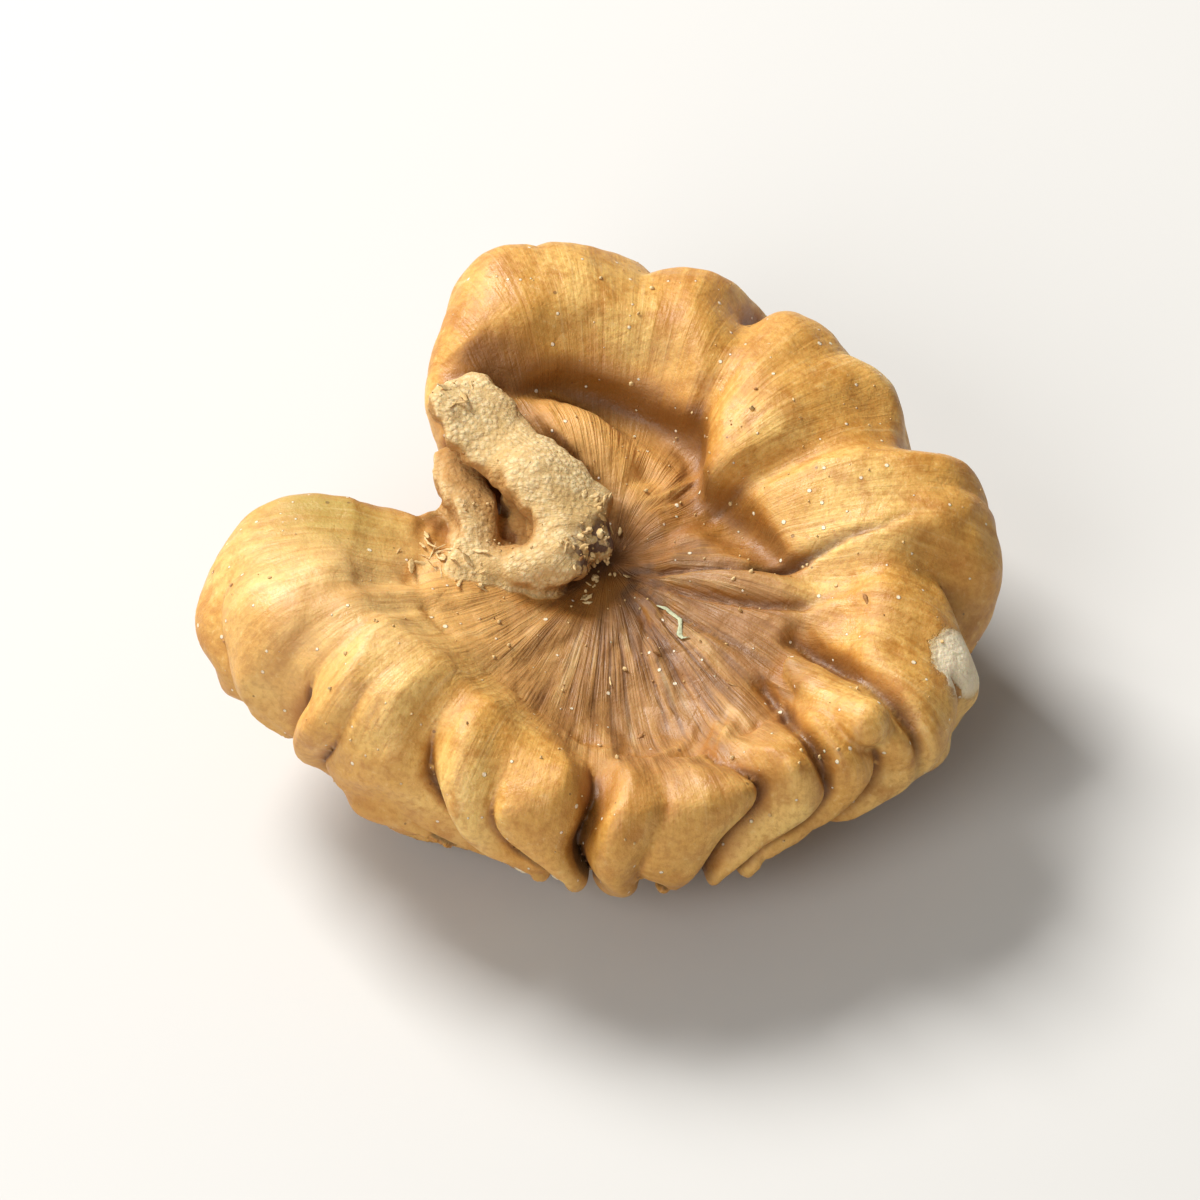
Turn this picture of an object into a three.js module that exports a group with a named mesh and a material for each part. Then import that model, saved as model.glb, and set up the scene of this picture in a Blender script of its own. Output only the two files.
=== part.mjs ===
// Half of a shelled walnut kernel, lying on its folded back with the inner face up.
// Two mirrored lobes join across a web, part at a deep notch and roll over into a scalloped rim.
// Sizes are millimetres. The shape is worked out about the hub, the middle of the inner face:
// x and y lie in that face and z rises out of it. Bearings are degrees anticlockwise from +x.

import * as THREE from 'three';
import { mergeVertices } from 'three/addons/utils/BufferGeometryUtils.js';

// ---- driving dimensions ----
const NOTCH_BEARING = 150;        // the notch between the two lobes
const RIM_REACH = 14.7;           // hub to rim, before the lobes' own bulges
const WEB_REACH = 8.6;            // hub to the inner edge of the rolled rim
const ROLL_HEIGHT = 3.7;          // half the height of the rolled rim
const ROLL_START = -158;          // bearing where the roll starts, on the lower lobe
const ROLL_END = 107;             // bearing where the roll ends, on the upper lobe
const ROLL_POWER = 2.3;           // squareness of the roll's section
const SLOPE_POWER = 1.45;         // the same on its inner side, which slopes down to the web
const WEB_DROP = 3.8;             // how far the hub lies below the rim's top
const WEB_RISE = 1.7;             // how far the web climbs back to the roll
const NOTCH_START = 6.2;          // hub to the middle of the notch's root
const NOTCH_FLARE = 0.36;         // half-width gained per millimetre outwards
const NOTCH_SWING = 7;            // how far the notch swings towards the lower lobe, degrees
const FURROW_RADIUS = 0.8;        // groove along the inner edge of the upper roll
const LEAN_X = 3.15;              // resting lean about x, degrees
const LEAN_Y = 5.75;              // resting lean about y, degrees
const FLAT_DEPTH = 0.5;           // flattening of the ridge tops that carry the kernel
const MESH_DETAIL = 22;           // subdivisions of each icosahedron edge

// Swellings of the rim, of the web's edge and of the roll's height, and drops of the rim:
// bearing, size, half-width in degrees.
const RIM_SWELLS = [[-27, 1.9, 30], [-155, 1.9, 35], [95, 0.5, 25], [45, -0.9, 22]];
const WEB_SWELLS = [[-72, 3.2, 36], [36, -3.8, 38]];
const ROLL_DIPS = [[-80, -1.5, 36]];
const RIM_DROPS = [[-172, 1.3, 45], [-80, 1.3, 36]];

// Creases between the folds, clockwise from the notch: bearing from the notch in degrees, then
// the depth at the rim, on the inner face and on the back.
const CREASES = [
  [0, 0.0, 0.0, 1.2], [44, 0.3, 0.05, 1.7], [69.5, 0.9, 0.15, 1.6], [88, 1.5, 0.3, 2.1],
  [107, 0.3, 0.0, 1.5], [126, 1.7, 0.35, 2.1], [141, 0.3, 0.1, 1.6], [164.3, 1.9, 0.5, 2.2],
  [178, 0.5, 0.1, 1.5], [192.5, 0.9, 0.3, 2.3], [205, 0.4, 0.1, 1.5], [217, 1.1, 0.3, 2.0],
  [230, 0.3, 0.1, 1.5], [243, 1.2, 0.3, 2.1], [258, 0.4, 0.1, 1.6], [272, 1.2, 0.3, 2.0],
  [286, 0.3, 0.1, 1.6], [297.7, 1.5, 0.35, 2.0], [316, 0.3, 0.1, 1.7], [360, 0.0, 0.0, 1.2],
];
const FOLD_REACH = 3.3;           // widest half-fold a crease can round over
const MINOR_CREASE = 0.6;         // rim depth below which a crease fades out on narrow folds

// Solid parts of the body, along the notch axis, across it, and up: centre and half-sizes.
const UPPER_LOBE = { at: [-0.6, 6.2, -4.2], half: [12.6, 7.4, 8.4] };
const LOWER_LOBE = { at: [0.2, -6.6, -4.2], half: [13.2, 7.6, 8.6] };
const BRIDGE = { at: [-2.6, 0, -6.3], half: [10.6, 6.5, 5.6] };

// Small folds on the web: ends of each rounded bar, and its radius at each end.
const WEB_FOLDS = [
  { from: [-4.4, 7.0, -3.9], to: [-1.4, 5.4, -3.2], r: [1.1, 1.5], blend: 1.0 },
  { from: [-1.4, 5.4, -3.2], to: [1.4, 2.2, -3.8], r: [1.5, 1.0], blend: 1.0 },
  { from: [6.9, -5.6, -2.4], to: [10.4, -9.7, -0.8], r: [0.65, 1.0], blend: 0.4 },
  { from: [3.4, -0.6, -4.0], to: [7.4, -1.9, -3.0], r: [0.7, 0.9], blend: 0.9 },
];

// Torn root of the dividing wall, left standing beside the hub: bars, half-width, half-thickness.
const TORN_ROOT = [
  { from: [-6.4, 5.4, -0.9], to: [-1.6, 0.9, -1.7], half: [1.7, 0.65] },
  { from: [-6.0, -1.2, -3.1], to: [-1.6, -1.4, -2.9], half: [1.0, 0.8] },
  { from: [-6.2, 4.0, -3.0], to: [-5.4, -0.8, -3.3], half: [0.9, 0.8] },
  { from: [-3.2, 2.4, -2.9], to: [-1.2, -0.6, -2.6], half: [1.3, 1.0] },
];

const SKIN = { color: 0xc8924e, roughness: 0.55, metalness: 0 };

// ---- small maths ----
const RAD = Math.PI / 180;
const AXIS = [Math.cos(NOTCH_BEARING * RAD), Math.sin(NOTCH_BEARING * RAD)];
const ACROSS = [AXIS[1], -AXIS[0]];
const fract = (t) => t - Math.floor(t);
const clamp = THREE.MathUtils.clamp;
const rise = THREE.MathUtils.smoothstep;
const step = (a, b, x) => (a < b ? rise(x, a, b) : 1 - rise(x, b, a));
const turn = (a) => THREE.MathUtils.euclideanModulo(a + Math.PI, 2 * Math.PI) - Math.PI;

// Union and intersection of two solids, rounded over a distance k.
function join(a, b, k) {
  const h = Math.max(k - Math.abs(a - b), 0) / k;
  return Math.min(a, b) - 0.25 * h * h * k;
}
const cut = (a, b, k) => -join(-a, -b, k);

// Smooth unevenness of about -1 to 1: a sum of sines in spread-out directions.
function unevenness(seed, wavelength, count = 5) {
  const sines = Array.from({ length: count }, (_, k) => {
    const c = 2 * fract(seed * 0.7548 + k * 0.5698) - 1;
    const s = Math.sqrt(1 - c * c);
    const a = 2 * Math.PI * fract(seed * 0.3819 + k * 0.618);
    const w = ((0.7 + 0.6 * fract(seed * 0.137 + k * 0.4142)) * 2 * Math.PI) / wavelength;
    return [w * s * Math.cos(a), w * s * Math.sin(a), w * c, 2.4 * k + 1.7 * seed];
  });
  return ([x, y, z]) => {
    let sum = 0;
    for (const [a, b, c, phase] of sines) sum += Math.sin(a * x + b * y + c * z + phase);
    return sum / Math.sqrt(count);
  };
}

const BEND = [unevenness(11, 9), unevenness(12, 9), unevenness(13, 10)];
const BACK_DRIFT = [unevenness(3, 13), unevenness(4, 5.5)];
const FACE_DRIFT = unevenness(5, 6);
const SUB_FOLDS = unevenness(21, 7.5, 6);
const LUMPS = unevenness(31, 3, 6);
const TORN_BEND = [unevenness(41, 3.6), unevenness(43, 3.6), unevenness(45, 4.2)];

const swell = (th, [at, height, wide]) => height * Math.exp(-((turn(th - at * RAD) / (wide * RAD)) ** 2));
const swellAll = (th, swells, base) => swells.reduce((sum, s) => sum + swell(th, s), base);
const rimAt = (th) => swellAll(th, RIM_SWELLS, RIM_REACH);
const webAt = (th) => swellAll(th, WEB_SWELLS, WEB_REACH);

// ---- the solids, each as a signed distance: negative inside ----
function ellipsoid(p, { at, half }) {
  const q = p.map((t, i) => (t - at[i]) / half[i]);
  const k0 = Math.hypot(...q);
  const k1 = Math.hypot(...q.map((t, i) => t / half[i]));
  return (k0 * (k0 - 1)) / Math.max(k1, 1e-6);
}

// Nearest place on the bar from a to b, as a fraction along it and the offset from it.
function alongBar(p, a, b) {
  const ab = b.map((t, i) => t - a[i]);
  const ap = p.map((t, i) => t - a[i]);
  const dot = ab[0] * ap[0] + ab[1] * ap[1] + ab[2] * ap[2];
  const h = clamp(dot / (ab[0] ** 2 + ab[1] ** 2 + ab[2] ** 2), 0, 1);
  return { h, ab, off: ap.map((t, i) => t - h * ab[i]) };
}

function roundBar(p, { from, to, r }) {
  const { h, off } = alongBar(p, from, to);
  return Math.hypot(...off) - (r[0] + (r[1] - r[0]) * h);
}

function flatBar(p, { from, to, half }) {
  const { ab, off } = alongBar(p, from, to);
  const length = Math.hypot(ab[0], ab[1]);
  const across = (-ab[1] * off[0] + ab[0] * off[1]) / length;
  const end = Math.sqrt(Math.max(off[0] ** 2 + off[1] ** 2 - across ** 2, 0));
  const q = Math.abs(across / half[0]) ** 3 + Math.abs(off[2] / half[1]) ** 3
    + (end / (0.7 * half[0])) ** 3;
  return (Math.cbrt(q) - 1) * half[1];
}

// The rolled rim: a flattened roll along an arc, closed off at the notch.
function roll([x, y, z], th) {
  const mid = 0.5 * (ROLL_START + ROLL_END) * RAD;
  const half = 0.5 * (ROLL_END - ROLL_START) * RAD;
  const off = turn(th - mid);
  const at = mid + clamp(off, -half, half);
  const outer = rimAt(at);
  const inner = webAt(at);
  const width = (outer - inner) / 2;
  const dx = x - ((outer + inner) / 2) * Math.cos(at);
  const dy = y - ((outer + inner) / 2) * Math.sin(at);
  const height = swellAll(at, ROLL_DIPS, ROLL_HEIGHT);
  const out = (dx * Math.cos(at) + dy * Math.sin(at)) / width;
  const end = Math.abs(off) > half ? -dx * Math.sin(at) + dy * Math.cos(at) : 0;
  const power = ROLL_POWER + (SLOPE_POWER - ROLL_POWER) * step(0.3, -0.7, out) * step(-5.5, -3.7, z);
  const q = Math.abs(out) ** power + Math.abs(end / (0.92 * width)) ** power
    + Math.abs((z + ROLL_HEIGHT) / height) ** power;
  return (q ** (1 / power) - 1) * Math.min(width, height);
}

// Lobes, bridge, web and roll, with the furrow and the notch cut out.
function body(p, rho, th) {
  const [x, y, z] = p;
  const local = [x * AXIS[0] + y * AXIS[1], x * ACROSS[0] + y * ACROSS[1], z];
  const lobes = join(ellipsoid(local, UPPER_LOBE), ellipsoid(local, LOWER_LOBE), 1.6);
  const web = -WEB_DROP + WEB_RISE * Math.min(rho / webAt(th), 1.3) ** 2;
  const belly = cut(join(lobes, ellipsoid(local, BRIDGE), 1.6), z - web, 1.5);
  const solid = join(roll(p, th), belly, 2.6);
  const on = step(-22, 4, th / RAD) * (1 - step(100, 125, th / RAD));
  const furrow = Math.hypot(rho - webAt(th) + 0.6, z + 2.3) - (FURROW_RADIUS * on - 0.6 * (1 - on));
  const [c, s] = [Math.cos(NOTCH_SWING * RAD), Math.sin(NOTCH_SWING * RAD)];
  const along = local[0] * c - local[1] * s;
  const across = local[0] * s + local[1] * c;
  const notch = along < 4 ? -5 : 0.5 + NOTCH_FLARE * (along - NOTCH_START) - Math.abs(across);
  return cut(cut(solid, -furrow, 1.3), 0.95 * notch, 2.2);
}

// Depth of the creases at a point. At the rim they run out from the hub; on the back they turn
// to run alongside the line between the lobes. They are soft on top of the rim and sharp below.
function creaseDepth(p, rho, th) {
  const [x, y, z] = p;
  const back = step(-4, -8.5, z);
  const u = x * AXIS[0] + y * AXIS[1];
  const v = x * ACROSS[0] + y * ACROSS[1];
  const focus = 0.3 + 7.2 * step(-5, -10, z);
  const near = Math.hypot(u - focus, v);
  const far = Math.hypot(u + focus, v);
  const stretch = Math.sqrt(Math.max(near * far, 1e-6));
  let nu = Math.acos(clamp((far - near) / (2 * focus), -1, 1));
  if (v < 0) nu = 2 * Math.PI - nu;
  const wander = step(-0.8, -7.5, z);
  const drift = wander * (11 * BACK_DRIFT[0](p) + 5 * BACK_DRIFT[1](p)) + (1 - wander) * 2 * FACE_DRIFT(p);
  nu = THREE.MathUtils.euclideanModulo(nu + drift * RAD, 2 * Math.PI);

  let i = 0;
  while (i < CREASES.length - 2 && nu >= CREASES[i + 1][0] * RAD) i += 1;
  const left = CREASES[i][0] * RAD;
  const right = CREASES[i + 1][0] * RAD;
  const half = (right - left) / 2;
  const crease = CREASES[nu - left < half ? i : i + 1];
  const gap = Math.min(nu - left, right - nu) * stretch;
  const wide = Math.min(half * stretch, FOLD_REACH);
  const t = clamp((Math.sqrt(gap * gap + 0.16) - 0.4) / Math.max(wide - 0.25, 1e-3), 0, 1);
  const sharp = 1 - Math.sqrt(Math.max(1 - (1 - t) ** 2, 0)) ** 0.9;
  const outward = rho / rimAt(th);
  const softness = 0.8 * step(-3.2, -0.8, z) * step(1, 0.78, outward);
  const profile = sharp + (1 - step(0, 1, t) - sharp) * softness;
  const rim = step(0.7, 1.0, outward);
  const face = (1 - rim) * step(0.75, 1.25, rho / webAt(th));
  const wall = 1 + 0.9 * step(-1.2, -3.6, z);
  let depth = (crease[1] * wall * rim + crease[2] * face) * (1 - back) + crease[3] * back;
  if (back > 0 && crease[1] < MINOR_CREASE) depth *= step(2, 3.4, (right - left) * stretch);
  return Math.min(depth, 1.1 * wide) * profile * step(1, 2.5, stretch);
}

// The whole kernel half.
function kernel(p) {
  const bent = [p[0] + 0.42 * BEND[0](p), p[1] + 0.42 * BEND[1](p), p[2] + 0.3 * BEND[2](p)];
  const rho = Math.hypot(bent[0], bent[1]);
  const th = Math.atan2(bent[1], bent[0]);
  bent[2] += swellAll(th, RIM_DROPS, 0) * step(4, 11, rho) * step(-9, -4, bent[2]);
  let f = body(bent, rho, th) + creaseDepth(bent, rho, th);
  for (const fold of WEB_FOLDS) f = join(f, roundBar(bent, fold), fold.blend);
  const back = step(-3.6, -7.4, bent[2]);
  f += back * 1.1 * (0.4 - Math.min(Math.sqrt(SUB_FOLDS(bent) ** 2 + 0.004), 0.4));
  f -= (0.05 + 0.1 * back) * LUMPS(bent);
  const torn = [p[0] + 0.25 * TORN_BEND[0](p), p[1] + 0.25 * TORN_BEND[1](p),
    p[2] + 0.3 * TORN_BEND[2](p)];
  return join(f, TORN_ROOT.map((bar) => flatBar(torn, bar)).reduce((a, b) => join(a, b, 0.6)), 0.6);
}

// ---- mesh: an icosahedron wrapped round a disc inside the kernel, then drawn onto the surface ----
const DISC_HEIGHT = -5.4;         // level of the disc
const DISC_REACH = 0.74;          // its radius, as a share of the rim's
const NOTCH_GATHER = 0.4;         // how closely the vertices crowd towards the notch
const NOTCH_PULL = 0.62;          // how far the disc draws back from the notch
const RAY_LENGTH = 12;
const RAY_STEP = 0.3;
const EASE_ROUNDS = 20;
const EASE_SHARE = 0.5;

// Where a vertex of the unit icosahedron first meets the surface from outside.
function wrap(vertex) {
  const polar = Math.acos(clamp(vertex.z, -1, 1)) / (Math.PI / 2);
  const side = polar < 1 ? polar : 2 - polar;
  const turned = Math.atan2(vertex.y, vertex.x);
  const th = turned - NOTCH_GATHER * Math.sin(turned - NOTCH_BEARING * RAD);
  const notch = NOTCH_PULL * Math.exp(-((turn(th - NOTCH_BEARING * RAD) / (16 * RAD)) ** 2));
  const reach = DISC_REACH * rimAt(th) * (1 - notch) * side * (2 - side);
  const tip = side ** 3 * (Math.PI / 2);
  const base = new THREE.Vector3(reach * Math.cos(th), reach * Math.sin(th), DISC_HEIGHT);
  const ray = new THREE.Vector3(Math.sin(tip) * Math.cos(th), Math.sin(tip) * Math.sin(th),
    Math.cos(tip) * Math.sign(vertex.z || 1));
  let out = RAY_LENGTH;
  while (out > 0 && kernel(base.clone().addScaledVector(ray, out).toArray()) > 0) out -= RAY_STEP;
  return base.addScaledVector(ray, Math.max(out, 0));
}

// The field at a point and its slope there.
const CORNERS = [[1, -1, -1], [-1, -1, 1], [-1, 1, -1], [1, 1, 1]];
function slope(p, reach = 0.06) {
  const g = [0, 0, 0];
  let mean = 0;
  for (const c of CORNERS) {
    const f = kernel([p[0] + reach * c[0], p[1] + reach * c[1], p[2] + reach * c[2]]);
    mean += f / 4;
    for (let k = 0; k < 3; k += 1) g[k] += (c[k] * f) / (4 * reach);
  }
  return { mean, g: new THREE.Vector3(...g) };
}

// Moves every vertex onto the surface, after evening out the mesh along it by the given share.
function ease(position, neighbours, share) {
  const before = position.array.slice();
  const p = new THREE.Vector3();
  const pull = new THREE.Vector3();
  const other = new THREE.Vector3();
  for (let i = 0; i < position.count; i += 1) {
    p.fromArray(before, 3 * i);
    pull.set(0, 0, 0);
    for (const j of neighbours[i]) pull.add(other.fromArray(before, 3 * j).sub(p));
    pull.divideScalar(neighbours[i].size);
    const { mean, g } = slope(p.toArray());
    const normal = g.clone().normalize();
    pull.addScaledVector(normal, -pull.dot(normal)).multiplyScalar(share);
    const drop = clamp(mean / Math.max(g.length(), 0.5), -0.5, 0.5);
    p.add(pull).addScaledVector(normal, -drop);
    position.setXYZ(i, p.x, p.y, p.z);
  }
}

function kernelGeometry() {
  const ball = new THREE.IcosahedronGeometry(1, MESH_DETAIL);
  ball.deleteAttribute('normal');
  ball.deleteAttribute('uv');
  const geometry = mergeVertices(ball, 1e-5);
  const position = geometry.attributes.position;
  const neighbours = Array.from({ length: position.count }, () => new Set());
  const corners = geometry.index.array;
  for (let i = 0; i < corners.length; i += 1) {
    const next = i % 3 === 2 ? i - 2 : i + 1;
    neighbours[corners[i]].add(corners[next]);
    neighbours[corners[next]].add(corners[i]);
  }
  const p = new THREE.Vector3();
  for (let i = 0; i < position.count; i += 1) {
    p.copy(wrap(p.fromBufferAttribute(position, i)));
    position.setXYZ(i, p.x, p.y, p.z);
  }
  for (let k = 0; k < EASE_ROUNDS; k += 1) ease(position, neighbours, EASE_SHARE);
  for (let k = 0; k < 3; k += 1) ease(position, neighbours, 0);

  geometry.applyMatrix4(new THREE.Matrix4().makeRotationFromEuler(
    new THREE.Euler(LEAN_X * RAD, LEAN_Y * RAD, 0, 'XYZ')));
  geometry.computeBoundingBox();
  const { min, max } = geometry.boundingBox;
  geometry.translate(-0.5 * (min.x + max.x), -0.5 * (min.y + max.y), -min.z - FLAT_DEPTH);
  for (let i = 0; i < position.count; i += 1) position.setZ(i, Math.max(position.getZ(i), 0));
  geometry.computeVertexNormals();
  return geometry;
}

const kernelHalf = new THREE.Mesh(kernelGeometry(), new THREE.MeshStandardMaterial(SKIN));
kernelHalf.name = 'kernel_half';

const walnut = new THREE.Group();
walnut.name = 'walnut';
walnut.add(kernelHalf);

export default walnut;
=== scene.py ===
"""Half of a shelled walnut kernel, lying on its folded back with the inner face up.

The kernel grew as one piece, so it is one closed surface: two lobes that join across a web, part
at a deep notch and roll over into a scalloped rim, with the torn root of the dividing wall left
beside the hub. Granules and shreds of skin and flesh lie on it.

Lengths of the shape are millimetres in the face frame: the hub is the origin, x and y lie in the
inner face and z rises out of it. Bearings are anticlockwise from +x. Meshes are put into the row
frame, in metres, by RestingPlace.
"""

import logging
import math
from dataclasses import dataclass, field
from enum import Enum
from functools import reduce
from typing import Callable

import bpy
import numpy as np
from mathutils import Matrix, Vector


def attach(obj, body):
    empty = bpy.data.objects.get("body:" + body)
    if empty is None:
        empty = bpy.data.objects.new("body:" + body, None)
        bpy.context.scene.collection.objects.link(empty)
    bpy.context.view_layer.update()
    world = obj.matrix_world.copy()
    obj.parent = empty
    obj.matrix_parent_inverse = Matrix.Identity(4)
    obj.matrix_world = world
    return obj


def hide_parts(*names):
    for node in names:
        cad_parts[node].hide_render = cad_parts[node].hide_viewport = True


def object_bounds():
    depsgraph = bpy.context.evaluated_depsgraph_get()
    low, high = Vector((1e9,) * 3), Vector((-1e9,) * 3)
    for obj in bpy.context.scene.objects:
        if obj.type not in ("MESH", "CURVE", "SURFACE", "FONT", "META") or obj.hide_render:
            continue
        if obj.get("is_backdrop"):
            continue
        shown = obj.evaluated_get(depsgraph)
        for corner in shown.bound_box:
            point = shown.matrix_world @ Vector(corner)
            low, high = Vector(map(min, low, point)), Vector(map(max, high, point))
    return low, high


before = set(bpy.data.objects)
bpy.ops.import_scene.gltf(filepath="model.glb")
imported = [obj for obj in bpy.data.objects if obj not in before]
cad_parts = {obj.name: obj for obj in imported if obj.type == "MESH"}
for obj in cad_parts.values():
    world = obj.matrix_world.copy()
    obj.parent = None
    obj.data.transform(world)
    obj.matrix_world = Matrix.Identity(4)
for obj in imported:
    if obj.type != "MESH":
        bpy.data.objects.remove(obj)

LOG = logging.getLogger("walnut")
MM = 0.001
Array = np.ndarray
Triple = tuple[float, float, float]
Distance = Callable[[Array, Array, Array], Array]


class Mark(str, Enum):
    """Names of the values that the kernel's mesh carries at each vertex."""

    PLACE = "place"        # position in the face frame, in millimetres
    # Painted shade: darkens creases, slopes that face the hub, and the furrow.
    PAINTED_SHADE = "painted_shade"      # 0 on open skin, 1 deep in a crease
    CREST = "crest"        # 1 along the tops of folds
    LINE = "line"          # 1 along the fine lines of the inner face
    FAN = "fan"            # 1 on the wrinkled web around the hub
    TORN = "torn"          # 1 on the torn root of the dividing wall
    RUBBED = "rubbed"      # 1 where the skin is rubbed through to the flesh
    TONE = "tone"          # 0 to 1, one value for each granule or shred


# --- Small maths ---


def ramp(low: float, high: float, x: Array) -> Array:
    """Eases from 0 at low to 1 at high: t squared times (3 - 2t)."""
    t = np.clip((x - low) / (high - low), 0.0, 1.0)
    return t * t * (3.0 - 2.0 * t)


def join(a: Array, b: Array, k: float) -> Array:
    """Union of two solids: the smaller distance, less a fillet of k where they are close."""
    h = np.maximum(k - np.abs(a - b), 0.0) / k
    return np.minimum(a, b) - h * h * k * 0.25


def cut(a: Array, b: Array, k: float) -> Array:
    """Overlap of two solids: the larger distance, with a fillet of k where they are close."""
    return -join(-a, -b, k)


def unit(v: Array) -> Array:
    """The same directions with length 1."""
    return v / np.maximum(np.linalg.norm(v, axis=-1, keepdims=True), 1e-9)


def turn(angle: Array) -> Array:
    """The same angle between minus and plus half a turn."""
    return (angle + math.pi) % (2 * math.pi) - math.pi


def swell(th: Array, swells: tuple[Triple, ...], base: float) -> Array:
    """Adds bell-shaped swellings round a bearing to a base reach.

    Args:
        th: bearings in radians.
        swells: bearing in degrees, height, and half-width in degrees, of each swelling.
        base: reach between the swellings.

    Returns:
        The base, plus for each swelling its height times exp(-(gap / half-width) squared).
    """
    total = np.full_like(th, base)
    for at, height, wide in swells:
        total += height * np.exp(-((turn(th - math.radians(at)) / math.radians(wide)) ** 2))
    return total


@dataclass(frozen=True)
class Unevenness:
    """Smooth unevenness of about -1 to 1: a sum of sines in spread-out directions."""

    seed: float
    wavelength: float
    count: int = 5

    def at(self, x: Array, y: Array, z: Array) -> Array:
        """Value at each point: the sines' sum over the square root of their count."""
        total = np.zeros(np.shape(x))
        for k in range(self.count):
            c = 2.0 * ((self.seed * 0.7548 + k * 0.5698) % 1.0) - 1.0
            s = math.sqrt(1.0 - c * c)
            a = 2.0 * math.pi * ((self.seed * 0.3819 + k * 0.6180) % 1.0)
            w = (0.7 + 0.6 * ((self.seed * 0.137 + k * 0.4142) % 1.0)) * 2.0 * math.pi
            w /= self.wavelength
            total += np.sin(w * (s * math.cos(a) * x + s * math.sin(a) * y + c * z)
                            + 2.4 * k + 1.7 * self.seed)
        return total / math.sqrt(self.count)


@dataclass(frozen=True)
class Bar:
    """A bar between two points, round or flat."""

    start: Triple
    end: Triple
    size: tuple[float, float]
    blend: float = 0.6

    def _along(self, x: Array, y: Array, z: Array) -> tuple[Array, Array, Array, Array]:
        """Share of the way along the bar, and the offset from its line."""
        a, d = np.array(self.start), np.array(self.end) - np.array(self.start)
        h = ((x - a[0]) * d[0] + (y - a[1]) * d[1] + (z - a[2]) * d[2]) / (d @ d)
        h = np.clip(h, 0.0, 1.0)
        return h, x - a[0] - h * d[0], y - a[1] - h * d[1], z - a[2] - h * d[2]

    def round_distance(self, x: Array, y: Array, z: Array) -> Array:
        """Distance to a round bar whose radius runs from the first size to the second."""
        h, dx, dy, dz = self._along(x, y, z)
        return np.sqrt(dx * dx + dy * dy + dz * dz) - (self.size[0] + (self.size[1] - self.size[0]) * h)

    def flat_distance(self, x: Array, y: Array, z: Array) -> Array:
        """Distance to a flat bar with the sizes as its half-width and half-thickness.

        The section is the rounded box |across / w|^3 + |up / t|^3 + |past the end / 0.7w|^3 = 1.
        """
        _, dx, dy, dz = self._along(x, y, z)
        lx, ly = self.end[0] - self.start[0], self.end[1] - self.start[1]
        across = (-ly * dx + lx * dy) / math.hypot(lx, ly)
        past = np.sqrt(np.maximum(dx * dx + dy * dy - across * across, 0.0))
        w, t = self.size
        q = np.abs(across / w) ** 3 + np.abs(dz / t) ** 3 + (past / (0.7 * w)) ** 3
        return (np.cbrt(q) - 1.0) * t


@dataclass(frozen=True)
class Ellipsoid:
    """A solid lobe, placed along the notch axis, across it, and up."""

    centre: Triple
    half: Triple

    def distance(self, u: Array, v: Array, z: Array) -> Array:
        """k0 (k0 - 1) / k1, with k0 the scaled radius and k1 the length of its slope."""
        q = [(t - c) / h for t, c, h in zip((u, v, z), self.centre, self.half)]
        k0 = np.sqrt(sum(t * t for t in q))
        k1 = np.sqrt(sum((t / h) ** 2 for t, h in zip(q, self.half)))
        return k0 * (k0 - 1.0) / np.maximum(k1, 1e-6)


@dataclass(frozen=True)
class Groove:
    """A soft line pressed into the inner face along a few points."""

    points: tuple[tuple[float, float], ...]
    depth: float
    width: float
    taper_from: float = 0.5

    def strength_at(self, x: Array, y: Array, width: float) -> Array:
        """Strength of the line.

        Args:
            x, y: face-frame coordinates, in millimetres.
            width: reach to either side, in millimetres.

        Returns:
            exp(-(distance to the line / width) squared), which eases to nothing between the
            share taper_from of the line's length and its outer end.
        """
        best, way, done = np.full(np.shape(x), 1e3), np.zeros(np.shape(x)), 0.0
        for (ax, ay), (bx, by) in zip(self.points[:-1], self.points[1:]):
            dx, dy = bx - ax, by - ay
            length = math.hypot(dx, dy)
            h = np.clip(((x - ax) * dx + (y - ay) * dy) / length**2, 0.0, 1.0)
            gap = (x - ax - h * dx) ** 2 + (y - ay - h * dy) ** 2
            way = np.where(gap < best, done + h * length, way)
            best = np.minimum(best, gap)
            done += length
        return np.exp(-best / width**2) * ramp(done, self.taper_from * done, way)

    def depth_at(self, x: Array, y: Array) -> Array:
        """Depth times the strength at the groove's own width."""
        return self.depth * self.strength_at(x, y, self.width)


# --- The kernel's shape ---

# Creases between the folds, clockwise from the notch: bearing from the notch in degrees, then
# the depth at the rim, on the inner face and on the back.
CREASES = (
    (0, 0.0, 0.0, 1.2), (44, 0.3, 0.05, 1.7), (69.5, 0.9, 0.15, 1.6), (88, 1.5, 0.3, 2.1),
    (107, 0.3, 0.0, 1.5), (126, 1.7, 0.35, 2.1), (141, 0.3, 0.1, 1.6), (164.3, 1.9, 0.5, 2.2),
    (178, 0.5, 0.1, 1.5), (192.5, 0.9, 0.3, 2.3), (205, 0.4, 0.1, 1.5), (217, 1.1, 0.3, 2.0),
    (230, 0.3, 0.1, 1.5), (243, 1.2, 0.3, 2.1), (258, 0.4, 0.1, 1.6), (272, 1.2, 0.3, 2.0),
    (286, 0.3, 0.1, 1.6), (297.7, 1.5, 0.35, 2.0), (316, 0.3, 0.1, 1.7), (360, 0.0, 0.0, 1.2),
)


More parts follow.
